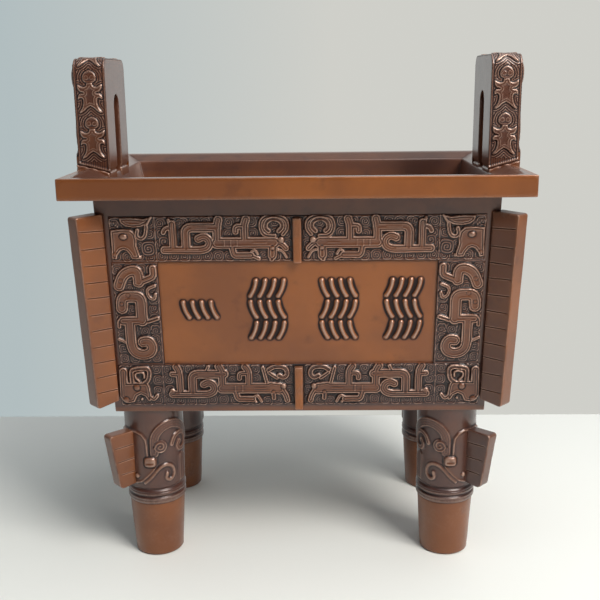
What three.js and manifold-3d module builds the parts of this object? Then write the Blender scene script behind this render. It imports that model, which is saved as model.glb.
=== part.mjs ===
// Square bronze ding: a four-legged rectangular ritual vessel, cast hollow in one piece, with two upright
// ears, corner and middle flanges and relief bands of dragons round a plain panel. Millimetres, +Z up. The
// origin is the middle of the footprint on the floor. The long sides face -Y (the front) and +Y.
import * as THREE from "three";
import { mergeVertices } from "three/addons/utils/BufferGeometryUtils.js";
import Module from "manifold-3d";

const wasm = await Module();
wasm.setup();

// Driving dimensions. x and y are half sizes, heights are above the floor.
const rim = { x: 180, y: 118, top: 330.4, band: 16.5, lip: 9, slope: 13, drop: 6 };
const bowl = { x: 158.2, y: 96.2, top: 313.9, bottom: 135.2, draft: 6, wall: 5, floor: 6, throat: 304 };
const bands = { top: 299, split: 262.5, panelTop: 260.5, panelFoot: 178.5, low: 176.5, foot: 141 };
const frame = { margin: 11, column: 38, divider: 1.6 };
const relief = { height: 2.2, root: 2, panelDepth: 1.5 };
const leg = { x: 125.8, y: 63.8, foot: 20.6, ankle: 23.6, ring: 25.4, top: 26.4, sides: 14 };
const legFlange = { top: 117.5, foot: 67, reachTop: 47.6, reachFoot: 41, thick: 11 };
const cornerFlange = { top: 301, foot: 143, reach: 19.5, thick: 13.2, grooves: 11, groove: 1, slant: 0.04 };
const middleFlange = { wide: 7.4, proud: 5 };
const ear = { inner: 158.2, outer: 182, y: 37.7, top: 421, corner: 9, slot: 9, slotTop: 390, root: 318 };
const earFoot = { inner: 158.2, outer: 184, y: 39.2, low: 327, high: 334 };
const strokeRows = { places: [-78.5, -24.5, 32.5, 84], rows: [1, 3, 3, 3], middle: 222.5, rise: 17.5 };
const stroke = { count: 4, pitch: 7.4, tall: 12.5, lean: 4.6, wide: 2.8, proud: 0.6 };
const bronze = { color: 0x7d5340, roughness: 0.42, metalness: 0.85 };

// A closed geometry as a solid that can be joined and cut.
function solid(geometry, matrix = new THREE.Matrix4()) {
  const bare = geometry.clone().applyMatrix4(matrix);
  bare.deleteAttribute("normal");
  bare.deleteAttribute("uv");
  const merged = mergeVertices(bare, 1e-4);
  const vertProperties = new Float32Array(merged.attributes.position.array);
  const triVerts = new Uint32Array(merged.index.array);
  return new wasm.Manifold(new wasm.Mesh({ numProp: 3, vertProperties, triVerts }));
}

const join = (solids) => wasm.Manifold.union(solids);
const bothSides = (make) => [-1, 1].flatMap(make);
const mirrored = (points, side) => points.map(([across, up]) => [across * side, up]);

// A block whose lower and upper rectangles differ in size.
function taper(low, high) {
  const box = new THREE.BoxGeometry(2, 2, 2);
  const corners = box.attributes.position;
  for (let i = 0; i < corners.count; i++) {
    const end = corners.getZ(i) < 0 ? low : high;
    corners.setXYZ(i, corners.getX(i) * end.x, corners.getY(i) * end.y, end.z);
  }
  return solid(box);
}

// The outline of a flat band of one width along a broken line, mitred at its corners.
function ribbon(points, width) {
  const path = points.map(([across, up]) => new THREE.Vector2(across, up));
  const near = [];
  const far = [];
  const heading = (i) => path[i + 1].clone().sub(path[i]).normalize();
  path.forEach((point, i) => {
    const leaving = heading(Math.min(i, path.length - 2));
    const coming = heading(Math.max(i - 1, 0));
    const side = new THREE.Vector2(-leaving.y - coming.y, leaving.x + coming.x).normalize();
    const reach = width / 2 / Math.max(side.dot(new THREE.Vector2(-leaving.y, leaving.x)), 0.5);
    near.push(point.clone().addScaledVector(side, reach));
    far.unshift(point.clone().addScaledVector(side, -reach));
  });
  return new THREE.Shape([...near, ...far]);
}

// Points round part of a circle or ellipse, from one angle to another in degrees.
function arc(across, up, radius, from, to, steps, squash = 1) {
  return Array.from({ length: steps + 1 }, (_, i) => {
    const angle = THREE.MathUtils.degToRad(from + ((to - from) * i) / steps);
    return [across + radius * Math.cos(angle), up + radius * squash * Math.sin(angle)];
  });
}

const outline = (points) => new THREE.Shape(points.map(([across, up]) => new THREE.Vector2(across, up)));

// The plane of one wall: across, up the slope and outwards, turned a quarter turn for each side of the bowl.
function wallPlane(quarter) {
  const lean = Math.atan(bowl.draft / (bowl.top - bowl.bottom));
  const half = quarter % 2 ? bowl.x : bowl.y;
  const atFloor = half - bowl.top * Math.tan(lean);
  const plane = new THREE.Matrix4().makeBasis(
    new THREE.Vector3(1, 0, 0),
    new THREE.Vector3(0, -Math.sin(lean), Math.cos(lean)),
    new THREE.Vector3(0, -Math.cos(lean), -Math.sin(lean)),
  );
  plane.setPosition(0, -atFloor, 0);
  return new THREE.Matrix4().makeRotationZ((quarter * Math.PI) / 2).multiply(plane);
}

// A flat shape standing out of a plane by some height, with its root inside.
function raise(shape, plane, height = relief.height, root = relief.root) {
  const options = { depth: height + root, bevelEnabled: false, curveSegments: 3 };
  const slab = new THREE.ExtrudeGeometry(shape, options);
  return solid(slab, plane.clone().multiply(new THREE.Matrix4().makeTranslation(0, 0, -root)));
}

// Flanged rim, tapered hollow bowl and its recessed plain panels.
function vessel() {
  const low = { x: bowl.x - bowl.draft, y: bowl.y - bowl.draft, z: bowl.bottom };
  const high = { x: bowl.x, y: bowl.y, z: bowl.top + 1 };
  const rimFoot = { x: rim.x, y: rim.y, z: rim.top - rim.band };
  const rimTop = { x: rim.x, y: rim.y, z: rim.top };
  const inset = (size, by, z) => ({ x: size.x - by, y: size.y - by, z });
  const mouth = inset(rim, rim.lip + rim.slope, rim.top - rim.drop);
  const throat = inset(bowl, bowl.wall, bowl.throat);
  const well = inset(low, bowl.wall, bowl.bottom + bowl.floor);
  const slopeRise = rim.drop / rim.slope;
  return taper(low, high)
    .add(taper(rimFoot, rimTop))
    .subtract(taper(mouth, inset(rim, rim.lip - 2, rim.top + 2 * slopeRise)))
    .subtract(taper(throat, { ...mouth, z: mouth.z + 0.5 }))
    .subtract(taper(well, { ...throat, z: throat.z + 0.5 }));
}

// A sunken plain field in the middle of each wall.
function panelCut(quarter) {
  const half = (quarter % 2 ? bowl.y : bowl.x) - frame.margin - frame.column;
  const slip = bowl.draft * 0.4;
  const corners = [[-half, bands.panelTop], [half, bands.panelTop], [half - slip, bands.panelFoot],
    [slip - half, bands.panelFoot]];
  return raise(outline(corners), wallPlane(quarter), 3, relief.panelDepth);
}

// A dragon facing the middle flange, as bands that step along the strip. up is the strip's lower edge. A
// long strip has room for the outer coil and beaked tail; a crowned dragon has a rolled horn instead of a
// bent one. The sides that turn away from the front are plainer.
function dragon(up, long, crowned, plain) {
  const body = [
    [[[15, up + 3], [17, up + 15.5], [63, up + 15.5], [62.5, up + 32.5]], 7],
    [[[41, up + 15.5], [41, up + 29], [48.5, up + 29], [48.5, up + 24]], 5],
    [[[51, up + 15.5], [49, up + 5.5], [35, up + 5.5]], 4.5],
  ];
  const horn = crowned
    ? [[arc(18, up + 28, 8, -50, 230, 5, 0.85), 4.5]]
    : [[[[24, up + 22], [24, up + 32.5], [11, up + 32.5], [11, up + 26]], 4]];
  const coil = [
    [[[61, up + 28], [87.5, up + 28], [87.5, up + 9], [73, up + 9], [73, up + 18], [80, up + 18]], 6.5],
    [[[88, up + 9], [97.5, up + 9], [97.5, up + 33]], 5.5],
    [[[97.5, up + 27], [103.5, up + 25]], 4],
  ];
  const shown = plain ? body.slice(0, 2) : [...body, ...horn];
  return [...shown, ...(long ? coil.slice(0, plain ? 1 : coil.length) : [])];
}

// The beast in a corner square, measured inwards from the ornament's edge: a mask with two claws under a
// horn.
function cornerBeast(up, crowned, plain) {
  const mask = [[1, up + 3], [5, up + 3], [10, up + 10], [18, up + 3], [23, up + 3], [20, up + 18],
    [16, up + 21], [1, up + 21]];
  const horn = crowned
    ? [[10, up + 34], [14, up + 28], [27, up + 28], [35, up + 35]]
    : [[12, up + 21], [13, up + 33], [28, up + 33], [26, up + 23]];
  return plain ? [outline(mask)] : [outline(mask), outline(horn)];
}

// The upright bird-dragon in a side column, measured inwards from the ornament's edge; up is the column's
// foot.
function columnDragon(up) {
  return [
    ribbon([[34, up + 71], [29, up + 68], [21, up + 67], [21, up + 76], [11, up + 74], [6.5, up + 62]], 7),
    ribbon([[9, up + 45], [9, up + 55], [23, up + 55], [23, up + 33.5], [12.5, up + 33.5], [12.5, up + 5.5],
      [30.5, up + 5.5], [30.5, up + 18], [23, up + 20]], 7.5),
  ];
}

// Strips of dragons, corner beasts, column dragons and middle flanges of one wall.
function ornament(quarter) {
  const plane = wallPlane(quarter);
  const half = (quarter % 2 ? bowl.y : bowl.x) - frame.margin;
  const divide = half - frame.column + 2;
  const strips = [bands.foot, bands.split];
  const tops = [bands.low, bands.top];
  const plain = quarter !== 0;
  const dividers = plain ? [] : strips;
  const figures = bothSides((side) => {
    const fromEdge = (point) => new THREE.Vector2(side * (half - point.x), point.y);
    const flip = (shape) => new THREE.Shape(shape.getPoints().map(fromEdge));
    const beasts = strips.flatMap((foot, row) => cornerBeast(foot, row === 1, plain));
    const dragons = strips.flatMap((foot, row) => dragon(foot, divide > 90, row === 1, plain));
    const bar = (foot, row) => ribbon([[side * divide, foot], [side * divide, tops[row]]], frame.divider);
    return [...[...beasts, ...columnDragon(bands.panelFoot)].map(flip),
      ...dragons.map(([points, width]) => ribbon(mirrored(points, side), width)), ...dividers.map(bar)];
  });
  const flanges = strips.map((foot, row) => {
    const line = ribbon([[0, foot - 1], [0, tops[row] - 2]], middleFlange.wide);
    return raise(line, plane, middleFlange.proud);
  });
  return [...figures.map((shape) => raise(shape, plane)), ...flanges];
}

// Rows of short strokes on the front field, each row leaning the other way: a plain pattern that spells
// nothing.
function strokes() {
  const { places, rows, middle, rise } = strokeRows;
  const bars = places.flatMap((place, patch) => Array.from({ length: rows[patch] }, (_, row) => {
    const up = middle + (row - (rows[patch] - 1) / 2) * rise;
    const lean = (patch + row) % 2 ? stroke.lean / 2 : -stroke.lean / 2;
    return Array.from({ length: stroke.count }, (_, i) => {
      const across = place + (i - (stroke.count - 1) / 2) * stroke.pitch;
      return [[across - lean, up - stroke.tall / 2], [across + lean, up + stroke.tall / 2]];
    });
  }).flat());
  const root = relief.panelDepth + 1;
  return bars.map((ends) => raise(ribbon(ends, stroke.wide), wallPlane(0), stroke.proud, root));
}

// A flat plate standing on edge: its outline is drawn outwards and up from an axis, facing one compass
// angle.
function uprightPlate(shape, thick, angle, x, y) {
  const out = new THREE.Vector3(Math.cos(angle), Math.sin(angle), 0);
  const up = new THREE.Vector3(0, 0, 1);
  const place = new THREE.Matrix4().makeBasis(out, up, out.clone().cross(up));
  place.setPosition(x, y, 0);
  const slab = new THREE.ExtrudeGeometry(shape, { depth: thick, bevelEnabled: false, curveSegments: 3 });
  slab.translate(0, 0, -thick / 2);
  return { slab, place };
}

// A flange on a corner of the bowl, ruled with grooves on the face towards the long side.
function cornerFin(signX, signY) {
  const { top, foot, reach, thick, grooves, groove, slant } = cornerFlange;
  const angle = Math.atan2(signY, signX);
  const drawIn = (height) => ((bowl.top - height) / (bowl.top - bowl.bottom)) * bowl.draft * Math.SQRT2;
  const tipTop = reach + 0.5 - drawIn(top);
  const tipFoot = reach - drawIn(foot);
  const shape = outline([[-9, foot + 3], [tipFoot - 4, foot], [tipFoot, foot + 4], [tipTop, top - 4],
    [tipTop - 4, top - 0.6], [-4, top]]);
  const { slab, place } = uprightPlate(shape, thick, angle, signX * bowl.x, signY * bowl.y);
  const face = -signX * signY;
  const cuts = Array.from({ length: grooves }, (_, i) => {
    const height = foot + ((top - foot) * (i + 1)) / (grooves + 1);
    const cut = new THREE.CylinderGeometry(groove, groove, 60, 3);
    cut.rotateY(face > 0 ? Math.PI : 0).rotateZ(slant - Math.PI / 2);
    return solid(cut.translate(10, height, (face * thick) / 2), place);
  });
  return solid(slab, place).subtract(join(cuts));
}

// A flat shape bent round a leg. It is drawn across from the leg's outward line, and up.
function wrapRoundLeg(shape, outward, x, y) {
  const root = relief.root + 1;
  const options = { depth: relief.height + root, bevelEnabled: false, curveSegments: 3 };
  const slab = new THREE.ExtrudeGeometry(shape, options);
  const points = slab.attributes.position;
  for (let i = 0; i < points.count; i++) {
    const angle = outward + points.getX(i) / leg.top;
    const radius = leg.top - root + points.getZ(i);
    points.setXYZ(i, x + radius * Math.cos(angle), y + radius * Math.sin(angle), points.getY(i));
  }
  return solid(slab);
}

// One round leg: tapered plain foot, two rings, and a horned beast mask split by an upright flange.
function dingLeg(signX, signY) {
  const x = signX * leg.x;
  const y = signY * leg.y;
  const outward = Math.atan2(signY, signX);
  const profile = [[0, 0], [leg.foot, 0], [leg.ankle, 49], [leg.ring, 50.5], [leg.ring, 55],
    [leg.ankle, 56.3], [leg.ring, 57.5], [leg.ring, 62], [leg.ankle, 64], [leg.top, bowl.bottom + 2],
    [0, bowl.bottom + 2]];
  const lathe = new THREE.LatheGeometry(profile.map(([r, z]) => new THREE.Vector2(r, z)), leg.sides);
  const upright = new THREE.Matrix4().makeRotationX(Math.PI / 2);
  const stand = new THREE.Matrix4().makeTranslation(x, y, 0).multiply(upright);
  const { top, foot, reachTop, reachFoot, thick } = legFlange;
  const fin = outline([[20, foot], [reachFoot - 4, foot], [reachFoot, foot + 4], [reachTop, top - 5],
    [reachTop - 1.5, top - 1], [reachTop - 5, top], [24, top - 3]]);
  const { slab, place } = uprightPlate(fin, thick, outward, x, y);
  const brow = [[20, 99], [21, 112], [33, 121], [45, 121], [56, 110]];
  const eye = arc(20, 89, 5.6, 30, 330, 5, 0.8);
  const curls = signY < 0 ? [arc(30, 102, 5, 120, -120, 4), arc(35, 77, 7, 160, -90, 3)] : [];
  const mask = bothSides((side) => [
    ribbon(mirrored(brow, side), 5.5),
    outline(mirrored(eye, side)),
    ...curls.map((curl) => ribbon(mirrored(curl, side), 3)),
  ]);
  const carving = mask.map((shape) => wrapRoundLeg(shape, outward, x, y));
  return [solid(lathe, stand), solid(slab, place), ...carving];
}

// The small creature on an ear's edge: round head, spread arms and a forked tail, one above another.
function edgeCreatures(plane) {
  return [339, 376].flatMap((foot) => [
    outline(arc(0, foot + 30, 5, 0, 300, 5)),
    ribbon([[0, foot + 9], [0, foot + 27]], 5),
    ribbon([[-10, foot + 18], [10, foot + 18]], 5),
    ribbon([[-7, foot - 1], [-3.5, foot + 9], [3.5, foot + 9], [7, foot - 1]], 3.2),
  ]).map((shape) => raise(shape, plane, 1.6));
}

// Two rearing tigers that face each other over a small round face, on an ear's outer side.
function tigers(plane) {
  const pair = bothSides((side) => [
    ribbon(mirrored([[33, 334], [25, 348], [26, 374], [21, 398]], side), 8.5),
    outline(arc(side * 17, 403, 7.5, 0, 300, 5)),
    ribbon(mirrored([[25, 380], [13.5, 374]], side), 4.5),
  ]);
  return [...pair, outline(arc(0, 403, 4.5, 0, 300, 5))].map((shape) => raise(shape, plane, 2.4));
}

// One upright ear: a slotted plate with a sloping foot on the rim, carved on its front edge and outer face.
function dingEar(signX) {
  const plate = new THREE.Shape();
  plate.moveTo(-ear.y, ear.root);
  plate.lineTo(ear.y, ear.root);
  plate.absarc(ear.y - ear.corner, ear.top - ear.corner, ear.corner, 0, Math.PI / 2);
  plate.absarc(ear.corner - ear.y, ear.top - ear.corner, ear.corner, Math.PI / 2, Math.PI);
  const slot = new THREE.Path();
  slot.moveTo(ear.slot, ear.root + 4);
  slot.lineTo(-ear.slot, ear.root + 4);
  slot.absarc(0, ear.slotTop - ear.slot, ear.slot, Math.PI, 0, true);
  plate.holes.push(slot);
  const face = new THREE.Matrix4().makeBasis(new THREE.Vector3(0, 1, 0), new THREE.Vector3(0, 0, 1),
    new THREE.Vector3(1, 0, 0));
  const turn = new THREE.Matrix4().makeRotationZ(signX > 0 ? 0 : Math.PI);
  const at = (x, y) => turn.clone().multiply(new THREE.Matrix4().makeTranslation(x, y, 0));
  const depth = ear.outer - ear.inner;
  const slab = new THREE.ExtrudeGeometry(plate, { depth, bevelEnabled: false, curveSegments: 4 });
  const footing = bothSides((side) => {
    const middle = (side * (earFoot.y + ear.slot)) / 2;
    const half = (earFoot.y - ear.slot) / 2;
    const profile = outline([[earFoot.inner, ear.root], [earFoot.outer, ear.root],
      [earFoot.outer, earFoot.high], [earFoot.inner, earFoot.low]]);
    const block = new THREE.ExtrudeGeometry(profile, { depth: 2 * half, bevelEnabled: false });
    const lie = new THREE.Matrix4().makeBasis(new THREE.Vector3(1, 0, 0), new THREE.Vector3(0, 0, 1),
      new THREE.Vector3(0, -1, 0));
    return [solid(block, at(0, middle + half).multiply(lie))];
  });
  const middleX = (ear.inner + ear.outer) / 2;
  const front = new THREE.Matrix4().makeBasis(new THREE.Vector3(1, 0, 0), new THREE.Vector3(0, 0, 1),
    new THREE.Vector3(0, -1, 0));
  const carved = new THREE.Matrix4().makeTranslation(signX * middleX, -ear.y, 0).multiply(front);
  const outerFace = at(ear.outer, 0).multiply(face);
  return [solid(slab, at(ear.inner, 0).multiply(face)), ...footing, ...tigers(outerFace),
    ...edgeCreatures(carved)];
}

// Everything is one casting, so it is joined into one closed body.
function casting() {
  const corners = bothSides((signX) => bothSides((signY) => [[signX, signY]]));
  const quarters = [0, 1, 2, 3];
  const shell = vessel().subtract(join(quarters.map(panelCut)));
  return join([
    shell,
    ...quarters.flatMap(ornament),
    ...strokes(),
    ...corners.map(([signX, signY]) => cornerFin(signX, signY)),
    ...corners.flatMap(([signX, signY]) => dingLeg(signX, signY)),
    ...bothSides(dingEar),
  ]);
}

// The joined body as a mesh of plain triangles.
function toMesh(body, name, look) {
  const { vertProperties, triVerts } = body.getMesh();
  const geometry = new THREE.BufferGeometry();
  geometry.setAttribute("position", new THREE.BufferAttribute(vertProperties, 3));
  geometry.setIndex(new THREE.BufferAttribute(triVerts, 1));
  geometry.computeVertexNormals();
  const mesh = new THREE.Mesh(geometry, new THREE.MeshStandardMaterial(look));
  mesh.name = name;
  return mesh;
}

const ding = new THREE.Group();
ding.add(toMesh(casting(), "square_ding", bronze));

export default ding;
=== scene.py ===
import math
import random

import bpy
import numpy as np
from mathutils import Matrix, Vector


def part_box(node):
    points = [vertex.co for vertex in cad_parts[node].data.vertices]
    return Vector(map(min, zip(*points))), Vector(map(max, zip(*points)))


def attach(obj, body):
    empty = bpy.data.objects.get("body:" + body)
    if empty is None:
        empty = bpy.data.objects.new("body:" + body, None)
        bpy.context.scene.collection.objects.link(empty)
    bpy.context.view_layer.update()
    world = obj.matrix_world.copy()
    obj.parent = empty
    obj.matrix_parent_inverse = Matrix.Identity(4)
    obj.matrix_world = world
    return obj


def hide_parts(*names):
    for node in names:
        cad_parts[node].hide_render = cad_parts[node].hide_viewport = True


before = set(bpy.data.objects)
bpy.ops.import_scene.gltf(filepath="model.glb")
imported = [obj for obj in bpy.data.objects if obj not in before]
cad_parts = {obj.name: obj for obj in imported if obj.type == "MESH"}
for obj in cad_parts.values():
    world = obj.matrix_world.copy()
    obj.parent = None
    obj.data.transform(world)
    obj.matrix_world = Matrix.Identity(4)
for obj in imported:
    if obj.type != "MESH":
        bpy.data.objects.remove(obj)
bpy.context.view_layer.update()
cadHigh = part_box("square_ding")[1]
mm = 0.001
print("frame loaded")


# camera, placed in millimetres and turned in radians
view = {
    "place": (14.0, -775.1, 400.2),
    "yaw": 0.018,
    "pitch": -0.243,
    "roll": -0.0109,
    "lens": 52.94,
    "shift": -0.00175,
    "sensor": 36,
    "near": 0.01,
}


def makeCamera():
    data = bpy.data.cameras.new("camera")
    data.lens = view["lens"]
    data.sensor_width = view["sensor"]
    data.shift_y = view["shift"]
    data.clip_start = view["near"]
    camera = bpy.data.objects.new("camera", data)
    bpy.context.scene.collection.objects.link(camera)
    turn = Matrix.Rotation(view["yaw"], 4, "Z") @ Matrix.Rotation(math.pi / 2 + view["pitch"], 4, "X")
    camera.matrix_world = (Matrix.Translation(Vector(view["place"]) * mm) @ turn
                           @ Matrix.Rotation(view["roll"], 4, "Z"))
    bpy.context.scene.camera = camera


makeCamera()


# sizes in millimetres: x and y are half sizes, heights are over the floor
rim = {
    "x": 180,
    "y": cadHigh.y / mm,
    "top": 330.4,
    "band": 16.5,  # height of the rim's edge
    "lip": 9,  # flat top of the rim
    "slope": 13,  # slope from the lip to the mouth
    "drop": 6,
}
bowl = {
    "x": 158.2,
    "y": 96.2,
    "top": 313.9,
    "bottom": 135.2,
    "draft": 6,  # how far each wall leans in from top to bottom
    "wall": 5,
    "floor": 6,
    "throat": 304,
    "panelDepth": 1.5,
}
ornament = {
    "margin": 11,  # plain metal at each end of a wall
    "corner": 36,  # width of a corner square and of a column
    "top": 299,
    "split": 262.5,
    "columnFoot": 178.5,
    "low": 176.5,
    "foot": 141,
}
lean = math.atan(bowl["draft"] / (bowl["top"] - bowl["bottom"]))


def wallHalf(quarter):  # half a wall's ornament; quarter 0 is the front, then come right, back and left
    return (bowl["y"] if quarter % 2 else bowl["x"]) - ornament["margin"]


def drawnIn(height):  # how far the leaning walls have come in at a height
    return (bowl["top"] - height) / (bowl["top"] - bowl["bottom"]) * bowl["draft"]


# meshes
def deselectAll():
    if bpy.context.mode != "OBJECT":
        bpy.ops.object.mode_set(mode="OBJECT")
    bpy.ops.object.select_all(action="DESELECT")


def pickPiece(piece):
    deselectAll()
    piece.select_set(True)
    bpy.context.view_layer.objects.active = piece


def meshPiece(name, points, faces):  # points in millimetres, in the frame
    mesh = bpy.data.meshes.new(name)
    mesh.from_pydata((np.asarray(points) * mm).tolist(), [], faces)
    mesh.update()
    piece = bpy.data.objects.new(name, mesh)
    bpy.context.scene.collection.objects.link(piece)
    return piece


def setLook(piece, wearAndShade, patina):  # wearAndShade runs from -1 in hollows to 1 on crests, and carries painted shade that pulls it down here and there; patina from 0 to 1
    for name, values in (("wearAndShade", wearAndShade), ("patina", patina)):
        layer = piece.data.attributes.get(name) or piece.data.attributes.new(name, "FLOAT", "POINT")
        values = np.broadcast_to(np.asarray(values, float), len(piece.data.vertices))
        layer.data.foreach_set("value", np.array(values, np.float32))


def joinPieces(name, pieces):
    deselectAll()
    for piece in pieces:
        piece.select_set(True)
    bpy.context.view_layer.objects.active = pieces[0]
    if len(pieces) > 1:
        bpy.ops.object.join()
    joined = bpy.context.view_layer.objects.active
    joined.name = joined.data.name = name
    return joined


def smoothFaces(piece, angle):
    pickPiece(piece)
    bpy.ops.object.shade_smooth_by_angle(angle=math.radians(angle))


# relief is drawn as heights over a flat field, in millimetres across and up
def ramp(values, low, high):
    t = np.clip((values - low) / (high - low), 0, 1)
    return t * t * (3 - 2 * t)


def lineDistance(across, up, points):  # distance to a broken line
    best = np.full(across.shape, 1e3)
    for (ax, ay), (bx, by) in zip(points[:-1], points[1:]):
        dx, dy = bx - ax, by - ay
        t = np.clip(((across - ax) * dx + (up - ay) * dy) / (dx * dx + dy * dy + 1e-9), 0, 1)
        best = np.minimum(best, np.hypot(across - ax - t * dx, up - ay - t * dy))
    return best


def rounded(points, rounds=2):  # cuts the corners of a broken line again and again
    for turn in range(rounds):
        cut = [points[0]]
        for (ax, ay), (bx, by) in zip(points[:-1], points[1:]):
            cut += [(ax + (bx - ax) * share, ay + (by - ay) * share) for share in (0.25, 0.75)]
        points = cut + [points[-1]]
    return points


def eased(points, reach=5.0):  # rounds the corners of a broken line by a set amount
    out = [points[0]]
    for a, b, c in zip(points, points[1:], points[2:]):
        a, b, c = Vector(a), Vector(b), Vector(c)
        into = b + (a - b) * min(reach / ((a - b).length + 1e-9), 0.5)
        away = b + (c - b) * min(reach / ((c - b).length + 1e-9), 0.5)
        for t in (0, 0.25, 0.5, 0.75, 1):
            out.append(tuple(into * (1 - t) ** 2 + b * 2 * t * (1 - t) + away * t ** 2))
    return out + [points[-1]]


def arcPoints(across, up, radius, start, end, steps=14, squash=1.0):
    turns = np.radians(np.linspace(start, end, steps + 1))
    return [(across + radius * math.cos(a), up + radius * squash * math.sin(a)) for a in turns]


def areaDistance(across, up, corners):  # to the edge of a closed outline, negative inside
    edge = lineDistance(across, up, corners + corners[:1])
    inside = np.zeros(across.shape, bool)
    for (ax, ay), (bx, by) in zip(corners, corners[1:] + corners[:1]):
        crosses = (ay > up) != (by > up)
        reach = ax + (up - ay) * (bx - ax) / ((by - ay) if by != ay else 1e-9)
        inside ^= crosses & (across < reach)
    return np.where(inside, -edge, edge)


def bump(distance, width):  # a rounded line
    return np.exp(-(distance / width) ** 2)


def spiral(across, up, centre, radius, pitch, turn):  # a square-shouldered thunder spiral
    x, y = across - centre[0], up - centre[1]
    reach = (np.abs(x) ** 3 + np.abs(y) ** 3) ** (1 / 3)
    phase = reach / pitch - turn * np.arctan2(y, x) / (2 * math.pi)
    wave = 0.5 + 0.5 * np.cos(2 * math.pi * phase)
    return wave ** 1.4 * ramp(radius - reach, -0.3, 0.4)


def blur(values, reach):  # mean over a square of grid steps
    out = values
    for axis in (0, 1):
        padded = np.pad(out, [(reach + 1, reach) if a == axis else (0, 0) for a in (0, 1)], mode="edge")
        total = np.cumsum(padded, axis=axis)
        size = 2 * reach + 1
        top = np.take(total, range(size, total.shape[axis]), axis=axis)
        bottom = np.take(total, range(0, total.shape[axis] - size), axis=axis)
        out = (top - bottom) / size
    return out


figureLines = {
    "proud": 1.7,
    "width": 0.45,
    "lines": ((0.6, 0.75), (1.5, -0.35), (2.3, 0.5)),  # distance from a figure's edge, and height
    "widen": 1.14,
    "boss": 1.3,  # height that bosses and eyes start from
    "rib": 0.42,
}
spirals = {"step": 8.6, "radius": 4.4, "pitch": 1.5, "proud": 0.9, "coil": 0.75, "stray": 0.6}


def figureHeight(distance):  # a raised band with a thin rounded border, a groove and a faint line inside it
    height = figureLines["proud"] * ramp(-distance, -0.7, 0.4)
    for inside, proud in figureLines["lines"]:
        height += proud * bump(distance + inside, figureLines["width"])
    return height


def drawFigures(across, up, bodies, areas=(), widen=1.0):
    distance = np.full(across.shape, 1e3)
    for points, width in bodies:
        distance = np.minimum(distance, lineDistance(across, up, eased(points)) - width / 2 * widen)
    for corners in areas:
        distance = np.minimum(distance, areaDistance(across, up, corners))
    return distance


def groundSpirals(across, up, span, seed):  # span: left, right, foot and top
    pick = random.Random(seed)
    ground = np.zeros(across.shape)
    left, right, foot, top = span
    rows = max(1, round((top - foot) / spirals["step"]))
    columns = max(1, round((right - left) / spirals["step"]))
    stray = spirals["stray"]
    for row in range(rows):
        for column in range(columns):
            centre = (left + (column + 0.5) * (right - left) / columns + pick.uniform(-stray, stray),
                      foot + (row + 0.5) * (top - foot) / rows + pick.uniform(-stray, stray))
            turn = pick.choice((-1, 1))
            ground = np.maximum(ground, spiral(across, up, centre, spirals["radius"], spirals["pitch"], turn))
    return ground


# Dragons, corner beasts and column birds. A point is its distance from the wall's middle and its height
# over the strip's foot; in corners and columns the first number runs inwards from the ornament's outer edge.
# Bodies are lines with a width, areas are outlines, domes have a centre, radius and height, spirals a centre,
# radius, pitch and turn, and ribs are thin raised lines.
upperDragon = {
    "bodies": [
        ([(18, 15), (63, 15)], 8.2),
        (rounded([(62.8, 15), (62.8, 27), (61.2, 33.6)], 1), 6.2),
        ([(62.6, 27.5), (87.3, 27.5), (87.3, 11)], 6.8),
        ([(104.6, 9.8), (74, 9.4), (69, 12), (68.6, 17.6), (73, 20.6), (77.4, 18.6)], 5.8),
        ([(97.6, 11), (97.6, 30.5)], 5.4),
        (rounded([(97.6, 27.8), (103, 27), (104.6, 23.8)], 1), 3.6),
        (rounded([(99.4, 30), (100, 33.8)], 0), 2.2),
        (rounded([(41.2, 16), (41.4, 29), (39.6, 33.8)], 1), 6.0),
        (rounded([(41.2, 28), (48, 28.2), (48, 24)], 1), 4.4),
        (rounded([(51.2, 13), (50, 5.1), (46, 5.1), (36.4, 5.1)], 2), 5.0),
        ([(37, 5), (33.5, 3.9), (30.2, 2.3)], 2.6),
        (rounded([(36, 8), (33.4, 10), (31.2, 6)], 2), 2.0),
        ([(19.4, 13), (19.7, 5)], 6.6),
        ([(19.7, 6), (20.2, 1.8)], 3.4),
        (rounded([(17, 16), (12, 14), (8.8, 10.5)], 1), 4.2),
        (rounded([(15.4, 9.6), (11.5, 8.6), (8.6, 3.4)], 2), 2.0),
        (rounded([(22.2, 24.4), (24.6, 26.5), (24.4, 31), (20.5, 34), (15.2, 33.8), (11.6, 31),
                  (11.4, 27.2), (14.4, 24.2)], 2), 3.4),
        (rounded([(17.6, 20.4), (26, 20.6), (29, 27.6), (27.2, 34.6), (20, 36.6), (12.4, 35.8), (7.6, 32.2),
                  (7.4, 26), (11, 21.6)], 2), 2.9),
    ],
    "areas": [],
    "domes": [((12.4, 17.2), 2.5, 1.5), ((19.4, 10.8), 1.6, 1.0)],
    "spirals": [((79, 15.8), 5.2, 2.0, 1), ((104.4, 16.4), 4.4, 1.9, -1), ((91.9, 31.5), 3, 1.6, 1)],
    "ribs": [([(24, 15), (34, 15)], 0.5), ([(52, 12.6), (52, 17)], 0.5), ([(47, 13), (47, 17)], 0.5),
             ([(57, 13), (57, 17)], 0.5), ([(70, 27.5), (82, 27.5)], 0.5), ([(78, 10), (98, 10)], 0.5)],
}
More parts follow.
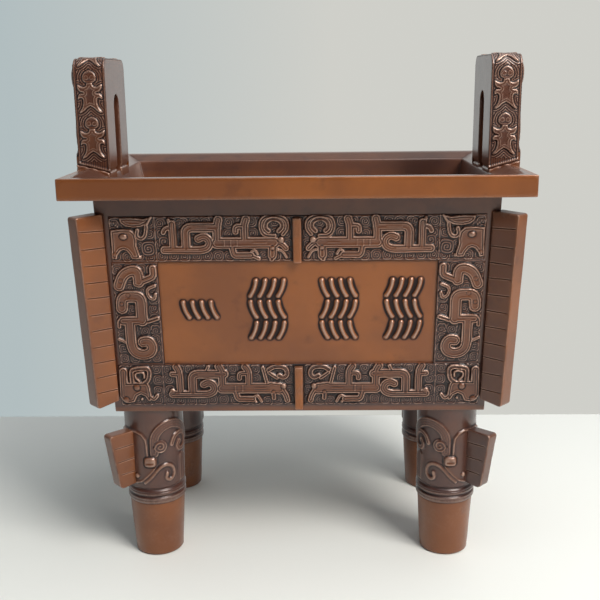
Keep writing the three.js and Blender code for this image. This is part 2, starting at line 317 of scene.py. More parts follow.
lowerDragon = {
    "bodies": [
        ([(17, 15.2), (63, 15.2)], 8.2),
        (rounded([(62.8, 15), (62.6, 30), (65.2, 34)], 1), 6.0),
        ([(61, 27.6), (87.2, 27.6), (87.2, 10.6)], 6.8),
        ([(104, 10.2), (74.6, 9.8), (69.4, 12.6), (69.4, 18), (74, 20.8), (78, 18.6)], 5.8),
        (rounded([(97.6, 13), (97.4, 30), (99.8, 34)], 1), 5.4),
        ([(97.6, 27.3), (103.4, 27.6)], 4.4),
        (rounded([(41, 17), (40.8, 30), (43.8, 33.8)], 1), 5.4),
        (rounded([(40.8, 28), (48.4, 28.2), (48.6, 23.8)], 1), 4.0),
        (rounded([(52, 12.5), (50.4, 5.6), (46, 5.8), (38, 5.6)], 2), 4.8),
        (rounded([(38, 6.5), (34.5, 9.4), (32, 5.5), (31, 3.4)], 2), 2.2),
        ([(75.6, 30), (73.6, 34)], 2.6),
        ([(23, 15.5), (16, 14.5)], 9.0),
        (rounded([(15, 16), (10.6, 9), (9.6, 4.6)], 1), 4.4),
        ([(21, 12.4), (20.7, 6.4)], 3.4),
        ([(26.2, 20), (29.2, 32.6)], 2.8),
        (rounded([(24.6, 31), (20, 34), (11, 33.4), (8.8, 27.5), (12.2, 23.8), (16, 26)], 2), 3.6),
        (rounded([(24.2, 28.6), (20.6, 25.8), (17.8, 24)], 1), 2.8),
    ],
    "areas": [],
    "domes": [((12.4, 16.8), 2.2, 1.4), ((104, 12.8), 2.3, 1.0), ((20.9, 11.6), 1.5, 0.8),
              ((35.4, 3), 1.2, 1.4)],
    "spirals": [((79, 17.2), 5, 2.3, 1)],
    "ribs": [([(27, 15), (36, 15)], 0.5), ([(46, 13), (46, 17.4)], 0.5), ([(52, 13), (52, 17)], 0.5),
             ([(69, 27.6), (82, 27.6)], 0.5), ([(80, 10.7), (98, 10.7)], 0.5)],
}
upperBeast = {
    "bodies": [
        (rounded([(29.6, 29), (28.4, 21), (24.4, 18.4), (21.2, 21), (22.4, 25.6)], 2), 2.8),
        ([(33.8, 36), (30.6, 30.6)], 1.6),
    ],
    "areas": [[(8.6, 35.4), (9.8, 31.5), (13.3, 28.9), (18.8, 27.8), (25.8, 28.4), (30.8, 31), (34.4, 36),
               (28, 34.6), (18, 35.6)],
              [(0.4, 3.4), (4.2, 2.6), (5.6, 6.2), (8, 9.3), (10.4, 10.2), (12.8, 9.3), (15, 6.4),
               (16.4, 2.8), (21.6, 2.6), (23.4, 3.2), (22.4, 8), (21, 13.5), (21.4, 18), (20.4, 23),
               (17, 26.2), (9, 26.6), (1.4, 25.8), (1.2, 14)]],
    "domes": [((11, 20.6), 3.1, 1.7), ((3.4, 6.2), 1.8, 0.8), ((23, 4.2), 1.5, 1.0)],
    "spirals": [((30, 10.6), 6.2, 2.0, -1), ((3.6, 26), 2.8, 1.6, 1)],
    "ribs": [([(0, 34.4), (5.4, 34.4), (9, 30)], 0.5), ([(0, 31.6), (4.4, 31.6), (7.6, 27.6)], 0.5)],
}
lowerBeast = {
    "bodies": [
        ([(10.6, 20.8), (10.2, 30), (12.2, 32), (25.6, 33.2), (24.4, 22.6), (20.5, 19.8)], 3.4),
        (rounded([(16.5, 21.6), (13.6, 24.6), (13.4, 28.8), (21, 29.6), (20.6, 24.6)], 1), 1.5),
        ([(3.9, 30), (3, 9)], 6.0),
        (rounded([(24.5, 8), (27.4, 5), (30.4, 9)], 1), 2.6),
    ],
    "areas": [[(1, 5), (1.4, 20.6), (23, 20.8), (24.6, 17), (25.6, 9), (25, 4.4), (22.6, 4.4), (20.4, 8.4),
               (17, 10.2), (13.6, 8.4), (11.4, 3.6), (6, 2.4)]],
    "domes": [((14, 16.2), 2.7, 1.6), ((4.4, 5.4), 2.6, 1.3), ((17.4, 5.8), 1.2, 1.2)],
    "spirals": [],
    "ribs": [],
}
columnBird = {
    "bodies": [
        (rounded([(32.8, 79), (33, 72.4), (28, 70.3), (23, 68.3), (19, 67)], 1), 5.0),
        (rounded([(21, 68), (20.4, 77), (14, 77), (8.2, 73), (5, 65)], 1), 8.0),
        (rounded([(33.3, 64.7), (27.6, 62.6), (26.8, 59), (28.8, 54.6), (32.6, 53.6), (33.4, 57.5)], 2), 2.4),
        ([(5.8, 46.6), (6.6, 56), (21.4, 56), (21.2, 36.2)], 8.6),
        ([(22.6, 36.2), (5.6, 35.8)], 6.6),
        ([(5.4, 37), (2.4, 36), (2.2, 31)], 3),
        ([(11, 35), (10.6, 15), (13, 9), (20, 6.6), (26.6, 9), (28, 14.4), (25, 19), (20.4, 18)], 7.8),
        ([(33.6, 37.8), (26, 35.2)], 3.2),
        ([(6, 18), (0.9, 20.4)], 2.2),
    ],
    "areas": [],
    "domes": [((6.6, 69), 1.5, 0.5), ((11.5, 57.2), 1.3, 0.5), ((5.8, 50), 1.3, 0.5)],
    "spirals": [((31.4, 27), 3, 1.5, 1), ((23, 27), 4, 1.5, -1), ((31.4, 46), 2.6, 1.4, 1)],
    "ribs": [],
}
shortTail = [  # two upturned ends that close a dragon on the two short sides
    (rounded([(43.6, 15), (44, 28), (42, 33.6)], 1), 5.6),
    (rounded([(35, 18), (35, 28), (31.5, 33)], 1), 4.6),
]


def within(points, far):
    return max(point[0] for point in points) < far


def shortened(figure, far):  # the part of a dragon that fits the short sides
    (points, width), rest = figure["bodies"][0], figure["bodies"][1:]
    trunk = ([points[0], (far - 4, points[1][1])], width)
    return {
        "bodies": [trunk] + [body for body in rest if within(body[0], 39)] + shortTail,
        "areas": figure["areas"],
        "domes": [dome for dome in figure["domes"] if within(dome[:1], far)],
        "spirals": [],
        "ribs": [rib for rib in figure["ribs"] if within(rib[0], far - 6)],
    }


def drawField(across, up, figure, seed, span):
    distance = drawFigures(across, up, figure["bodies"], figure["areas"], figureLines["widen"])
    ground = spirals["proud"] * groundSpirals(across, up, span, seed)
    for centre, radius, pitch, turn in figure["spirals"]:
        near = np.hypot(across - centre[0], up - centre[1]) < radius + 0.5
        ground = np.where(near, spirals["coil"] * spiral(across, up, centre, radius, pitch, turn), ground)
    height = figureHeight(distance) + ground * ramp(distance, 0.5, 1.1)
    for points, width in figure["ribs"]:
        height += figureLines["rib"] * bump(lineDistance(across, up, points), width)
    for centre, radius, proud in figure["domes"]:
        squash = 1.3 if radius > 2.9 else 1
        near = np.hypot(across - centre[0], (up - centre[1]) * squash) / radius
        dome = figureLines["boss"] + proud * np.sqrt(np.clip(1 - near ** 2, 0, 1))
        height = np.where(near < 1, np.maximum(height, dome), height)
        height -= 0.35 * bump(near * radius - radius - 0.4, 0.4)
    return height


# walls: one slab of relief for each strip, joined to one piece for each wall
wallDetail = {
    "step": (0.56, 0.73, 0.86, 0.73),  # mesh steps on the front, right, back and left
    "root": 2.6,
    "clear": 0.15,
    "narrowing": 0.0228,  # what half a strip loses for each millimetre down
    "divider": 0.8,
    "edgeLine": 0.7,
    "ridgeGap": (3.6, 5.2),  # the relief starts here, beside the middle ridge
    "ridgeShade": 0.7,
    "lowShade": 0.16,
}
slabLook = {"crest": 4.2, "broad": 0.5, "ground": 0.22, "bare": 0.35}


def wallPoints(quarter, across, up, out):  # a wall's own across, up and outwards, to the frame
    half = bowl["x"] if quarter % 2 else bowl["y"]
    atFloor = half - bowl["top"] * math.tan(lean)
    x = across
    y = -atFloor - up * math.sin(lean) - out * math.cos(lean)
    z = up * math.cos(lean) - out * math.sin(lean)
    turn = quarter * math.pi / 2
    cos, sin = math.cos(turn), math.sin(turn)
    return np.stack([x * cos - y * sin, x * sin + y * cos, z], -1)


def slabPiece(name, across, up, height, root, place, shade=0, patina=1, bare=slabLook["bare"]):
    # a closed slab with the heights on top and flat sides and back; place turns across, up and height to
    # frame points, shade darkens it here and there, and bare is the share of patina that raised parts lose
    rows, columns = height.shape
    height = height * 0.5 + blur(height, 1) * 0.5
    top = place(across, up, height).reshape(-1, 3)
    index = np.arange(rows * columns).reshape(rows, columns)
    quads = np.stack([index[:-1, :-1], index[:-1, 1:], index[1:, 1:], index[1:, :-1]], -1).reshape(-1, 4)
    ring = np.concatenate([index[0, :-1], index[:-1, -1], index[-1, :0:-1], index[:0:-1, 0]])
    back = place(across, up, np.full(height.shape, -root)).reshape(-1, 3)[ring]
    start = rows * columns
    below = start + np.arange(len(ring))
    sides = np.stack([np.roll(ring, -1), ring, below, np.roll(below, -1)], -1)
    right, left = below[columns - 1:columns - 1 + rows], np.roll(below[::-1], 1)[:rows]
    crossed = np.stack([left[1:-2], left[2:-1], right[2:-1], right[1:-2]], -1)
    last = columns + rows - 2
    ends = [[left[1], right[1]] + below[:columns][::-1].tolist(),
            below[last:last + columns][::-1].tolist() + [right[-2], left[-2]]]
    faces = quads.tolist() + sides.tolist() + crossed.tolist() + ends
    piece = meshPiece(name, np.concatenate([top, back]), faces)
    crest = (height - blur(height, 1)) * slabLook["crest"] + (height - blur(height, 4)) * slabLook["broad"]
    crest = np.clip(crest - shade - slabLook["ground"] * patina * (1 - ramp(height, 0.7, 1.3)), -1, 1)
    patina = patina * (1 - bare * ramp(blur(height, 1), 1.1, 1.7))
    hidden = np.zeros(len(ring))
    setLook(piece, *[np.concatenate([values.reshape(-1), hidden]) for values in (crest, patina)])
    return piece


def gridOver(left, right, foot, top, step):
    return np.meshgrid(np.linspace(left, right, max(2, round((right - left) / step))),
                       np.linspace(foot, top, max(2, round((top - foot) / step))))


def strip(name, quarter, left, right, foot, top, heightAt):
    across, up = gridOver(left, right, foot, top, wallDetail["step"][quarter])
    height = heightAt(np.abs(across), up)
    rise = np.minimum(np.minimum(across - left, right - across), np.minimum(up - foot, top - up))
    height += wallDetail["edgeLine"] * bump(rise - 0.9, 0.5) * (height < 1.2)
    edge = wallHalf(quarter) - (ornament["top"] - up) * wallDetail["narrowing"]
    shade = wallDetail["ridgeShade"] * ramp(7.5 - np.abs(across), 0, 3.5)
    shade += wallDetail["lowShade"] * ramp(ornament["split"] - up, 0, 100)
    return slabPiece(name, across * (edge / edge.max()), up, height, wallDetail["root"],
                     lambda a, u, h: wallPoints(quarter, a, u, h + wallDetail["clear"]), shade)


def wallRelief(name, quarter):
    half, corner = wallHalf(quarter), ornament["corner"]
    divide = half - corner
    foot, split, low, top = [ornament[key] for key in ("foot", "split", "low", "top")]

    def bandHeight(figure, beast, base, seed):
        shown = shortened(figure, divide) if quarter % 2 else figure

        def heightAt(across, up):
            middle = drawField(across, up - base, shown, seed, (4, divide, 0, corner))
            ends = drawField(half - across, up - base, beast, seed + 1, (0, corner, 0, corner))
            height = np.where(across > divide, ends, middle)
            height += wallDetail["divider"] * bump(across - divide, 0.5)
            return height * ramp(across, *wallDetail["ridgeGap"])
        return heightAt

    def columnHeight(across, up):
        return drawField(half - across, up - ornament["columnFoot"], columnBird, 31, (0, corner, 0, 82))

    upperBand = bandHeight(upperDragon, upperBeast, split, 7)
    lowerBand = bandHeight(lowerDragon, lowerBeast, foot, 17)
    parts = [strip(name + "Top", quarter, -half, half, split, top, upperBand),
             strip(name + "Low", quarter, -half, half, foot, low, lowerBand)]
    for side in (-1, 1):
        left, right = sorted((side * (divide - 0.6), side * half))
        parts.append(strip(name + "Side", quarter, left, right, low - 0.2, split + 0.2, columnHeight))
    piece = joinPieces(name, parts)
    smoothFaces(piece, 70)
    return piece


wallNames = ("frontRelief", "rightRelief", "backRelief", "leftRelief")
wallPieces = [wallRelief(name, quarter) for quarter, name in enumerate(wallNames)]
print("wall relief done")


# plain solids, shaped in edit mode
def editPiece(piece, mode="FACE"):
    pickPiece(piece)
    bpy.ops.object.mode_set(mode="EDIT")
    bpy.ops.mesh.select_mode(type=mode)


def clearPick(piece):
    bpy.ops.object.mode_set(mode="OBJECT")
    for part in (piece.data.polygons, piece.data.edges, piece.data.vertices):
        part.foreach_set("select", [False] * len(part))


def pickFaces(piece, wanted):  # selects the faces whose centre and normal suit
    clearPick(piece)
    for polygon in piece.data.polygons:
        polygon.select = wanted(polygon.center / mm, polygon.normal)
        if polygon.select:
            for vertex in polygon.vertices:
                piece.data.vertices[vertex].select = True
    bpy.ops.object.mode_set(mode="EDIT")


def pickEdges(piece, wanted):  # selects the edges whose two ends suit
    clearPick(piece)
    ends = [vertex.co / mm for vertex in piece.data.vertices]
    for edge in piece.data.edges:
        edge.select = wanted(ends[edge.vertices[0]], ends[edge.vertices[1]])
    bpy.ops.object.mode_set(mode="EDIT")


def cutAcross(piece, axis, places):  # cuts right through at each place, in millimetres
    editPiece(piece)
    normal = [float(axis == name) for name in "xyz"]
    for place in places:
        at = [place * mm * share for share in normal]
        bpy.ops.mesh.select_all(action="SELECT")
        bpy.ops.mesh.bisect(plane_co=at, plane_no=normal, use_fill=False)
    bpy.ops.object.mode_set(mode="OBJECT")


def softenEdges(piece, width, angle):
    pickPiece(piece)
    bevel = piece.modifiers.new("edges", "BEVEL")
    bevel.width = width * mm
    bevel.segments = 3
    bevel.limit_method = "ANGLE"
    bevel.angle_limit = math.radians(angle)
    bpy.ops.object.modifier_apply(modifier=bevel.name)


def readVertices(piece, what):
    flat = np.empty(len(piece.data.vertices) * 3)
    piece.data.vertices.foreach_get(what, flat)
    return flat.reshape(-1, 3)


def moveVertices(piece, change):  # change turns points in millimetres to new ones
    points = change(readVertices(piece, "co") / mm)
    piece.data.vertices.foreach_set("co", (np.asarray(points) * mm).reshape(-1))
    piece.data.update()


wearGain = 3.0  # how strongly rounded edges count as rubbed


def shapeWear(piece, patina):  # reads each point's roundness from the mesh itself
    points, normals = readVertices(piece, "co"), readVertices(piece, "normal")
    ends = np.empty(len(piece.data.edges) * 2, np.int32)
    piece.data.edges.foreach_get("vertices", ends)
    a, b = ends.reshape(-1, 2).T
    along = points[b] - points[a]
    along /= np.linalg.norm(along, axis=1, keepdims=True) + 1e-9
    drop = np.zeros(len(points))
    count = np.zeros(len(points))
    np.add.at(drop, a, -(normals[a] * along).sum(1))
    np.add.at(drop, b, (normals[b] * along).sum(1))
    np.add.at(count, a, 1)
    np.add.at(count, b, 1)
    setLook(piece, np.clip(drop / np.maximum(count, 1) * wearGain, -1, 1),
            patina(points / mm) if callable(patina) else patina)


def finishPlain(piece, angle=35, patina=0.0):  # patina is a number, or a function of points in millimetres
    editPiece(piece)
    bpy.ops.mesh.select_all(action="SELECT")
    bpy.ops.mesh.remove_doubles(threshold=0.00001)
    bpy.ops.mesh.normals_make_consistent(inside=False)
    bpy.ops.object.mode_set(mode="OBJECT")
    smoothFaces(piece, angle)
    shapeWear(piece, patina)
    return piece


def newCube(name, toPoints):  # a cube whose corners are then placed
    bpy.ops.mesh.primitive_cube_add(size=1, location=(0, 0, 0))
    piece = bpy.context.object
    piece.name = name
    moveVertices(piece, toPoints)
    return piece


# rim and hollow bowl
def makeBowl():
    bpy.ops.mesh.primitive_cube_add(size=1, location=(0, 0, (rim["top"] - rim["band"] / 2) * mm))
    piece = bpy.context.object
    piece.name = "bowl"
    piece.scale = (2 * rim["x"] * mm, 2 * rim["y"] * mm, rim["band"] * mm)
    bpy.ops.object.transform_apply(location=True, rotation=True, scale=True)
    editPiece(piece)
    pickFaces(piece, lambda centre, normal: normal.z < -0.5)  # the underside, drawn down to the bowl's floor
    bpy.ops.mesh.inset(thickness=(rim["x"] - bowl["x"]) * mm)
    bpy.ops.mesh.extrude_region_move()
    toLevel(piece, bowl["bottom"], bowl["draft"])
    pickFaces(piece, lambda centre, normal: normal.z > 0.5)  # the top, sunk into lip, slope and hollow
    bpy.ops.mesh.inset(thickness=rim["lip"] * mm)
    bpy.ops.mesh.inset(thickness=rim["slope"] * mm)
    bpy.ops.transform.translate(value=(0, 0, -rim["drop"] * mm))
    for height, inset in ((bowl["throat"], bowl["wall"]),
                          (bowl["bottom"] + bowl["floor"], bowl["draft"] + bowl["wall"])):
        bpy.ops.mesh.extrude_region_move()
        toLevel(piece, height, inset)
    for quarter in range(4):
        sinkPanel(piece, quarter)
    bpy.ops.object.mode_set(mode="OBJECT")
    softenEdges(piece, 1.3, 50)
    for axis in "xy":  # cuts that give the casting its soft waves and the wear its place
        lip = rim[axis] - rim["lip"]
        near = [rim[axis] - 3.5, lip + 2.5, lip - 2.5, lip - rim["slope"] + 2]
        cutAcross(piece, axis, [side * place for place in near for side in (-1, 1)])
        cutAcross(piece, axis, np.arange(-140, 141, 20))
    cutAcross(piece, "z", [138, 140, 160, 180, 200, 220, 240, 260, 280, 300, 303, 311, 317, 322, 327])
    return finishPlain(piece, 30, bowlPatinaAndShade)


def bowlPatinaAndShade(points):  # the worked walls and the neck are dark, the neck with patina and painted shadow under the rim; the band under the ornament is darker as painted shade; the rim and the sunken fields are not
    x, y, z = np.abs(points).T
    proud = np.maximum(x - bowl["x"], y - bowl["y"]) + drawnIn(z)
    # the plain band below the ornament: patina raised there as painted shade
    wall = np.where(z > ornament["foot"] - 2, 1.0, 0.6)
    shown = np.where(proud > -0.7, wall, np.where(proud > -bowl["panelDepth"] - 0.8, 0.0, 0.8))
    inside = np.minimum(rim["x"] - x, rim["y"] - y)
    return np.where(z > bowl["top"] - 2, ramp(inside, 1.5, 5), shown)


def toLevel(piece, height, inset):  # sends the selected face to a height and inside the bowl's outline
    bpy.ops.object.mode_set(mode="OBJECT")
    for vertex in piece.data.vertices:
        if vertex.select:
            vertex.co.x = math.copysign(bowl["x"] - inset, vertex.co.x) * mm
            vertex.co.y = math.copysign(bowl["y"] - inset, vertex.co.y) * mm
            vertex.co.z = height * mm
    bpy.ops.object.mode_set(mode="EDIT")


def sinkPanel(piece, quarter):  # the plain field in the middle of a wall
    turn = quarter * math.pi / 2
    out = Vector((math.sin(turn), -math.cos(turn), 0))
    side = Vector((math.cos(turn), math.sin(turn), 0))
    rise = Vector((0, 0, 1))
    half = wallHalf(quarter) - ornament["corner"]

    def onWall(centre, normal):
        return normal.dot(out) > 0.9 and bowl["bottom"] < centre.z < bowl["top"] and centre.dot(out) > 80

    for place, normal in ((side * half, side), (side * -half, side), (rise * ornament["split"], rise),
                          (rise * ornament["low"], rise)):
        pickFaces(piece, onWall)
        bpy.ops.mesh.bisect(plane_co=place * mm, plane_no=normal)

    def onPanel(centre, normal):
        return (onWall(centre, normal) and abs(centre.dot(side)) < half
                and ornament["low"] < centre.z < ornament["split"])

    pickFaces(piece, onPanel)
    bpy.ops.mesh.extrude_region_move()
    bpy.ops.transform.translate(value=out * -bowl["panelDepth"] * mm)


bowlPiece = makeBowl()
print("bowl done")


# flanges; shades are the patina on the ruled sides and on the end, for each corner as signs names them; they
# differ by corner as painted shade, darker on faces turned away from the key light
signs = [(-1, -1), (1, -1), (1, 1), (-1, 1)]
cornerNames = ("FrontLeft", "FrontRight", "BackRight", "BackLeft")
cornerFlange = {
    "top": 301,
    "foot": 143.4,
    "reach": 19.5,
    "thick": 13,
    "grooves": 11,
    "cut": 0.65,
    "slant": 0.05,
    "corners": (2, 3),
    "shades": ((0.12, 0.6), (0.7, 0.25), (0.3, 0.4), (0.4, 0.3)),
}
legFlange = {
    "top": 117.5,
    "foot": 67,
    "reachTop": 47.6,
    "reachFoot": 41,
    "inner": 20,
    "thick": 10.8,
    "grooves": 3,
    "cut": 0.6,
    "slant": 0.02,
    "corners": (3, 4.5),
    "shades": ((0.35, 0.6), (0.85, 0.6), (0.6, 0.6), (0.5, 0.6)),
}
middleFlange = {"wide": 7.4, "proud": 4.8, "root": 2, "taper": 0.86}
leg = {"x": 125.8, "y": 63.8, "foot": 20.6, "ankle": 23.6, "ring": 25.0, "neck": 25.0, "top": 26.4}


def finPiece(name, corners, size, seed):
    # drawn along +X; corners are the inner foot, the outer foot, the outer top and the inner top
    thick = size["thick"]

    def toCorners(points):
        foot = np.where(points[:, :1] < 0, corners[0], corners[1])
        top = np.where(points[:, :1] < 0, corners[3], corners[2])
        place = np.where(points[:, 2:] < 0, foot, top)
        return np.stack([place[:, 0], np.sign(points[:, 1]) * thick / 2, place[:, 1]], 1)

    piece = newCube(name, toCorners)
    editPiece(piece, "EDGE")
    for end, radius in ((corners[2], size["corners"][0]), (corners[1], size["corners"][1])):
        pickEdges(piece, lambda a, b: max((Vector((p.x, p.z)) - Vector(end)).length for p in (a, b)) < 0.6)
        bpy.ops.mesh.bevel(offset=radius * mm, segments=4)
    bpy.ops.object.mode_set(mode="OBJECT")
    softenEdges(piece, 0.9, 60)
    pick = random.Random(seed)
    step = (size["top"] - size["foot"]) / (size["grooves"] + 1)
    marks = [size["foot"] + step * (i + 1) + pick.uniform(-0.9, 0.9) for i in range(size["grooves"])]
    cutAcross(piece, "z", [mark + shift for mark in marks for shift in (-1.5, -0.55, 0, 0.55, 1.5)])
    cutAcross(piece, "x", np.arange(corners[0][0] + 3, corners[2][0] - 1.2, 2.4))
    cutAcross(piece, "y", [-thick / 2 + 2.2, thick / 2 - 2.2])
    wander = [pick.uniform(-0.03, 0.03) for mark in marks]

    def carve(points):
        across, side, up = points.T
        reach = np.interp(up, [corners[1][1], corners[2][1]], [corners[1][0], corners[2][0]])
        depth = np.zeros(len(points))
        lift = np.zeros(len(points))
        for mark, turn in zip(marks, wander):
            near = np.clip(1 - np.abs(up - mark) / 0.54, 0, 1)
            depth = np.maximum(depth, near * size["cut"])
            lift += np.clip(1 - np.abs(up - mark) / 5, 0, 1) * (across - reach / 2) * (size["slant"] + turn)
        depth *= ramp(reach - across, 1.6, 3.4)
        flank = np.clip((np.abs(side) - thick / 2 + 2.2) / 1.2, 0, 1)
        wave = 0.15 * np.sin(up / 9 + seed) * np.cos(across / 5)
        side = np.sign(side) * (np.abs(side) - depth * flank + wave * flank)
        return np.stack([across, side, up + lift], 1)

    moveVertices(piece, carve)
    return piece


def turnTo(piece, sign, centre):  # turns a piece drawn along +X to a corner of the bowl, and places it there
    turn = np.array(Matrix.Rotation(math.atan2(sign[1], sign[0]), 3, "Z"))
    place = (sign[0] * centre["x"], sign[1] * centre["y"], 0)
    moveVertices(piece, lambda points: points @ turn.T + place)


def cornerFin(name, corner, size, centre, outline, seed):
    fin = finPiece(name, outline, size, seed)
    sign, (sides, end) = signs[corner], size["shades"][corner]
    turnTo(fin, sign, centre)
    angle = math.atan2(sign[1], sign[0])

    # patina from the corner's shades: painted shade that differs by corner
    def patina(points):
        out = (points[:, 0] - sign[0] * centre["x"]) * math.cos(angle)
        out += (points[:, 1] - sign[1] * centre["y"]) * math.sin(angle)
        reach = np.interp(points[:, 2], [outline[1][1], outline[2][1]], [outline[1][0], outline[2][0]])
        return sides + (end - sides) * ramp(out, reach - 1.4, reach - 0.4)

    return finishPlain(fin, 35, patina)


def makeCornerFlange(name, corner):
    size = cornerFlange
    top, foot = size["top"], size["foot"]
    tipTop = size["reach"] + 0.5 - drawnIn(top) * math.sqrt(2)
    tipFoot = size["reach"] - drawnIn(foot) * math.sqrt(2)
    outline = ((-9, foot + 3), (tipFoot, foot + 0.5), (tipTop, top - 0.8), (-4, top))
    return cornerFin(name, corner, size, bowl, outline, corner)


def makeLegFlange(name, corner):
    size = legFlange
    top, foot, inner = size["top"], size["foot"], size["inner"]
    outline = ((inner, foot + 2), (size["reachFoot"] - 1, foot), (size["reachTop"], top - 1),
               (inner, top - 1.5))
    return cornerFin(name, corner, size, leg, outline, corner + 9)


def makeMiddleFlange(name, quarter, foot, top):
    def toWedge(points):
        across, up, out = np.sign(points).T
        half = middleFlange["wide"] / 2 * np.where(out > 0, middleFlange["taper"], 1)
        return np.stack([across * half, up * (top - foot) / 2 + (top + foot) / 2,
                         np.where(out > 0, middleFlange["proud"], -middleFlange["root"])], 1)

    piece = newCube(name, toWedge)
    softenEdges(piece, 0.9, 50)
    cutAcross(piece, "y", np.arange(foot + 3, top - 2, 6))
    moveVertices(piece, lambda points: wallPoints(quarter, *points.T))
    return finishPlain(piece)


finPieces = []
for corner, name in enumerate(cornerNames):
    finPieces.append(makeCornerFlange("cornerFlange" + name, corner))
    finPieces.append(makeLegFlange("legFlange" + name, corner))
for quarter, wall in enumerate(("Front", "Right", "Back", "Left")):
    for name, foot, top in (("upperRidge", ornament["split"] - 1, ornament["top"] - 2),
                            ("lowerRidge", ornament["foot"] - 3, ornament["low"] - 2)):
        finPieces.append(makeMiddleFlange(name + wall, quarter, foot, top))
print("flanges done")


# legs: one is made with its flange side along +X, then copied and turned to each corner
def legMask(across, up):  # across runs round the leg from its flange, in millimetres
    brow = lineDistance(across, up, rounded([(24.5, 97), (24.5, 111), (30, 118.5), (38, 122), (47, 121),
                                             (55, 115), (60, 106)], 2))
    height = 0.8 * ramp(4.2 - brow, -0.5, 0.9) + 0.45 * bump(brow - 3.2, 0.6) + 0.45 * bump(brow - 1.0, 0.5)
    cheek = areaDistance(across, up, [(0, 69), (0, 117), (9, 117), (14.6, 114.6), (18.2, 110), (19.2, 104),
                                      (19.5, 96), (23, 90), (27, 86), (24, 80.6), (19, 75.4), (13.6, 70.6),
                                      (6, 68)])
    height = np.maximum(height, 1.0 * ramp(-cheek, -0.5, 1.0) + 0.5 * bump(cheek + 1.3, 0.6))
    height -= 0.35 * bump(cheek + 3.2, 0.5) * (up > 92)
    curl = np.hypot(across - 30, (up - 102.5) * 1.06)
    turned = curl - 1.1 * np.arctan2(up - 102.5, across - 30) / math.pi
    coil = 1.1 * ramp(6.2 - curl, -0.4, 0.8) + 0.35 * np.cos(turned * 2 * math.pi / 3.0)
    height = np.where(curl < 6.2, coil, height)
    earLine = lineDistance(across, up, rounded([(41, 103), (44, 110), (52, 112), (59, 106), (57, 97),
                                                (50, 95.5), (46.5, 99.5), (49.5, 103.5)], 2))
    height = np.maximum(height, 1.3 * ramp(2.2 - earLine, -0.5, 0.8) - 0.35 * bump(earLine, 0.6))
    scroll = lineDistance(across, up, rounded([(15, 70), (21, 75), (27, 82.4), (34, 86), (41, 83.4),
                                               (43.4, 76), (39, 70.6), (34, 72.6), (35.4, 77.4)], 2))
    hollow = np.hypot(across - 35.6, up - 77.6)
    height = np.where(hollow < 7.2, height - 0.9 * ramp(7.2 - hollow, 0, 1.4), height)
    height = np.maximum(height, 1.3 * ramp(1.6 - scroll, -0.7, 0.9))
    height += 0.3 * bump(scroll - 3.4, 0.6) * (hollow > 6)
    side = areaDistance(across, up, [(48, 66.5), (48, 90), (52, 93), (58, 91), (60, 66.5)])
    height = np.maximum(height, ramp(-side, -0.4, 0.8) * (0.8 + 0.3 * np.cos(across * 2.0)))
    x, y = (across - 20.4) / 5.4, (up - 89.2) / 4.6
    eye = (np.abs(x) ** 3.2 + np.abs(y) ** 3.2) ** (1 / 3.2)
    height = np.where(eye < 1.22, np.maximum(0.7, 3.2 * np.clip(1.08 - eye ** 3, 0, 1) ** 0.5), height)
    height -= 0.7 * bump(up - 88.2, 0.7) * (np.abs(x) < 0.55)
    fang = np.hypot(across - 8.4, up - 76.4) / 2.1
    tip = 1.2 + 1.8 * np.sqrt(np.clip(1 - fang ** 2, 0, 1))
    return np.where(fang < 1, np.maximum(height, tip), height)


def legRadius(up):  # the plain foot, two double rings and the masked part over them
    foot, ankle, ring, neck = leg["foot"], leg["ankle"], leg["ring"], leg["neck"]
    profile = [(0, foot - 0.7), (0.7, foot), (49, ankle), (49.6, ankle - 0.4), (50.4, ring - 0.5),
               (51.6, ring), (52.6, ring), (53.2, ring - 0.4), (53.9, ring), (55, ring - 0.1), (55.8, ankle),
               (56.6, ankle), (57.4, ring - 0.4), (58.6, ring + 0.1), (59.6, ring + 0.1), (60.2, ring - 0.3),
               (60.9, ring + 0.1), (62, ring - 0.3), (63, ankle), (63.8, ankle + 0.1), (65, ankle + 1.0),
               (66.5, ankle + 0.8), (124, neck), (140, neck - 0.4)]
    return np.interp(up, *zip(*profile))


